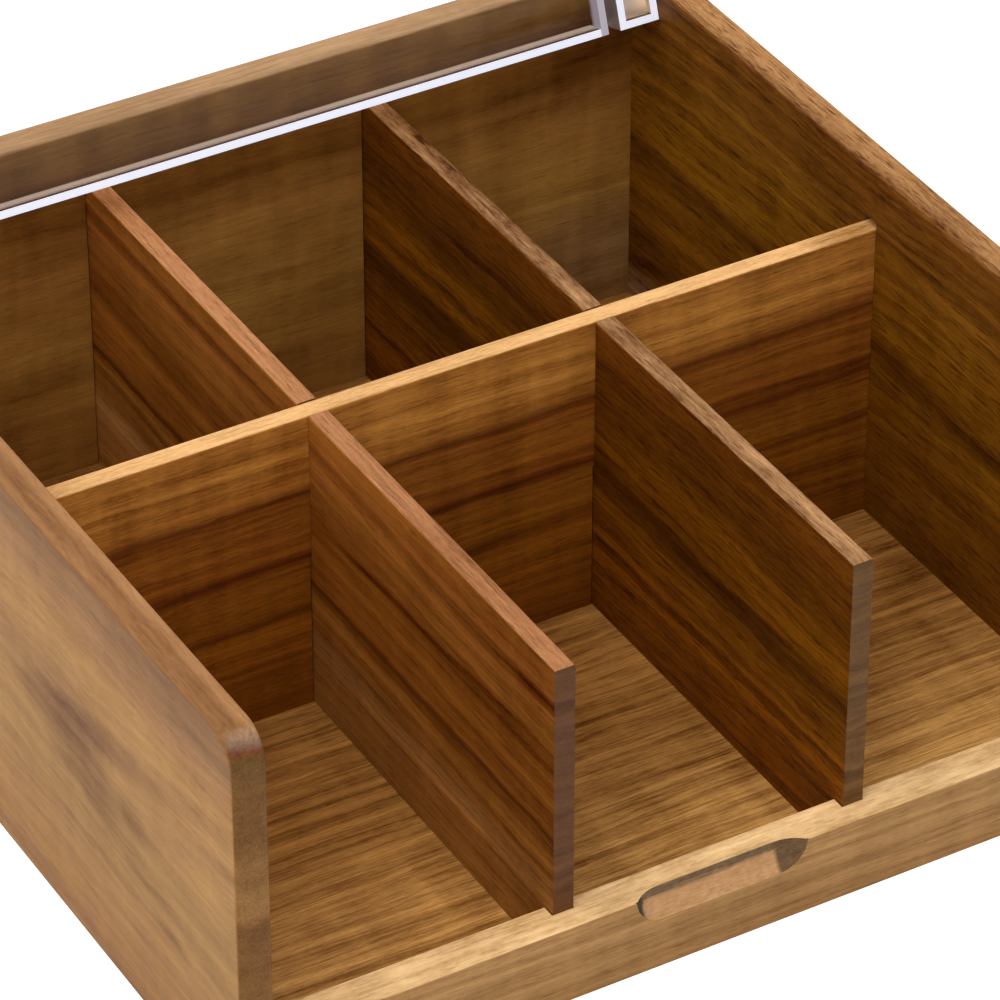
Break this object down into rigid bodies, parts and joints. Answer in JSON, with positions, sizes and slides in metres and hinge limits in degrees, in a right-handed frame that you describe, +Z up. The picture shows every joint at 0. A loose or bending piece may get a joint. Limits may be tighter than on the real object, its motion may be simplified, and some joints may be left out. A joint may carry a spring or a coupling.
{
  "type": "tea bag organizer box",
  "caption": "Wooden box with crossed dividers for tea bags, a low front with a finger recess, and a hinged clear lid that covers the top and the front.",
  "frame": {"origin": "middle of the flat underside that the box stands on", "axes": "+Z up; +Y from the low front towards the rear board, which carries the lid; +X to the right, seen from the front"},
  "size_m": [0.233, 0.2814, 0.3157],
  "materials": {
    "left_side_wood": "satin, tan with grey-brown streaks",
    "right_side_wood": "satin, dark olive brown",
    "rail_wood": "satin, honey",
    "rear_wood": "satin, olive brown",
    "floor_wood": "satin, mid brown with fine dark pores",
    "cross_wood": "satin, banded orange and red brown",
    "long_left_wood": "satin, red brown",
    "long_right_wood": "satin, dark brown",
    "dowel_wood": "bare beech",
    "clear_plastic": "clear, polished",
    "pin_steel": "plain"
  },
  "bodies": {
    "box": {"side_panel_left": "left_side_wood", "side_panel_right": "right_side_wood", "front_rail": "rail_wood", "rear_panel": "rear_wood", "base_panel": "floor_wood", "cross_divider": "cross_wood", "long_divider_left": "long_left_wood", "long_divider_right": "long_right_wood", "hinge_pin_left": "pin_steel", "hinge_pin_right": "pin_steel", "front_dowels": "dowel_wood", "rear_dowels": "dowel_wood"},
    "lid": {"lid": "clear_plastic"}
  },
  "joints": [
    {"name": "lid_hinge", "type": "hinge", "parent": "box", "child": "lid", "pos_m": [0, 0.0982, 0.0934], "axis": [1, 0, 0], "range_deg": [0, 109]}
  ]
}
